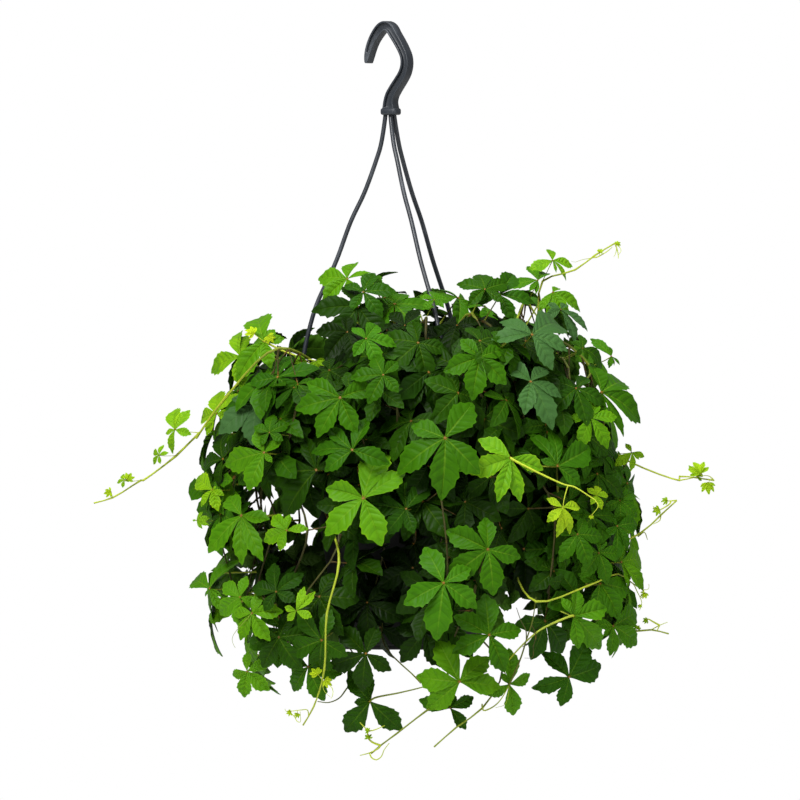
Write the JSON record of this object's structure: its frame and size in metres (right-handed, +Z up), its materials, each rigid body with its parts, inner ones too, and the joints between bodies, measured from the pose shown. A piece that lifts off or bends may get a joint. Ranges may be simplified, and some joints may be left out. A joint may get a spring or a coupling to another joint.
{
  "type": "potted miniature grape ivy",
  "caption": "Hanging plastic pot on a one-piece hook hanger, with a dense mound of trailing stems and five-part toothed leaves.",
  "frame": {"origin": "seat inside the hook, the point that bears on the rod or hook it hangs from", "axes": "+Z up, from the pot towards the hook; +X to the right and +Y away as the plant is seen from its fuller side"},
  "size_m": [0.4656, 0.3408, 0.549],
  "materials": {
    "hanger_plastic": "satin",
    "pot_plastic": "satin",
    "potting_soil": "matte",
    "foliage": "satin"
  },
  "bodies": {
    "root": {"back_stem_01": "foliage", "back_stem_02": "foliage", "back_stem_03": "foliage", "back_stem_04": "foliage", "back_stem_05": "foliage", "back_stem_06": "foliage", "back_stem_07": "foliage", "back_stem_08": "foliage", "back_stem_09": "foliage", "back_stem_10": "foliage", "back_stem_11": "foliage", "back_stem_12": "foliage", "back_stem_13": "foliage", "back_stem_14": "foliage", "crown_stem_1": "foliage", "crown_stem_2": "foliage", "crown_stem_3": "foliage", "front_stem_01": "foliage", "front_stem_02": "foliage", "front_stem_03": "foliage", "front_stem_04": "foliage", "front_stem_05": "foliage", "front_stem_06": "foliage", "front_stem_07": "foliage", "front_stem_08": "foliage", "front_stem_09": "foliage", "front_stem_10": "foliage", "front_stem_11": "foliage", "front_stem_12": "foliage", "front_stem_13": "foliage", "front_stem_14": "foliage", "front_stem_15": "foliage", "front_stem_16": "foliage", "front_stem_17": "foliage", "front_stem_18": "foliage", "front_stem_19": "foliage", "hanger": "hanger_plastic", "pot": "pot_plastic", "soil": "potting_soil"}
  },
  "joints": []
}
